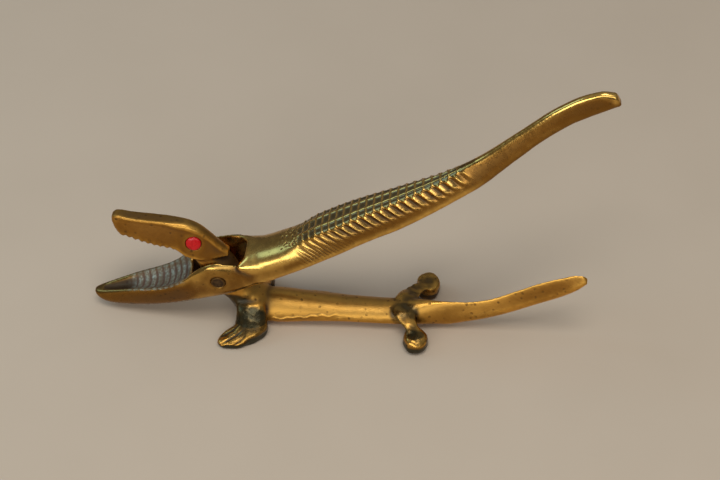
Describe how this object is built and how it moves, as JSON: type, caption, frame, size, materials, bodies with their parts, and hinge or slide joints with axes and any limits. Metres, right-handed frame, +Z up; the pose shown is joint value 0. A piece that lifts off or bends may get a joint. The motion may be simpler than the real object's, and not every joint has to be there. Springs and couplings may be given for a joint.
{
  "type": "crocodile nutcracker",
  "caption": "Cast brass nutcracker shaped as a standing crocodile: tail levers cross at a rivet, so squeezing them closes the toothed jaws.",
  "frame": {"origin": "middle of the animal's box, on the table that it stands on", "axes": "+X from the snout to the tails, +Y to the animal's right, +Z up"},
  "size_m": [0.1788, 0.0386, 0.1153],
  "materials": {
    "back_brass": "cast and hand finished, browned with age",
    "belly_brass": "rough cast, browned with age",
    "rivet_steel": "filed flush, dark with age",
    "eye_glass": "polished red glass bead"
  },
  "bodies": {
    "belly": {"belly_lever": "belly_brass", "left_eye": "eye_glass", "right_eye": "eye_glass"},
    "back": {"back_lever": "back_brass", "pivot_rivet": "rivet_steel"}
  },
  "joints": [
    {"name": "jaw_hinge", "type": "hinge", "parent": "belly", "child": "back", "pos_m": [-0.04174, 0, 0.0232], "axis": [0, 1, 0], "range_deg": [-3, 28]}
  ]
}
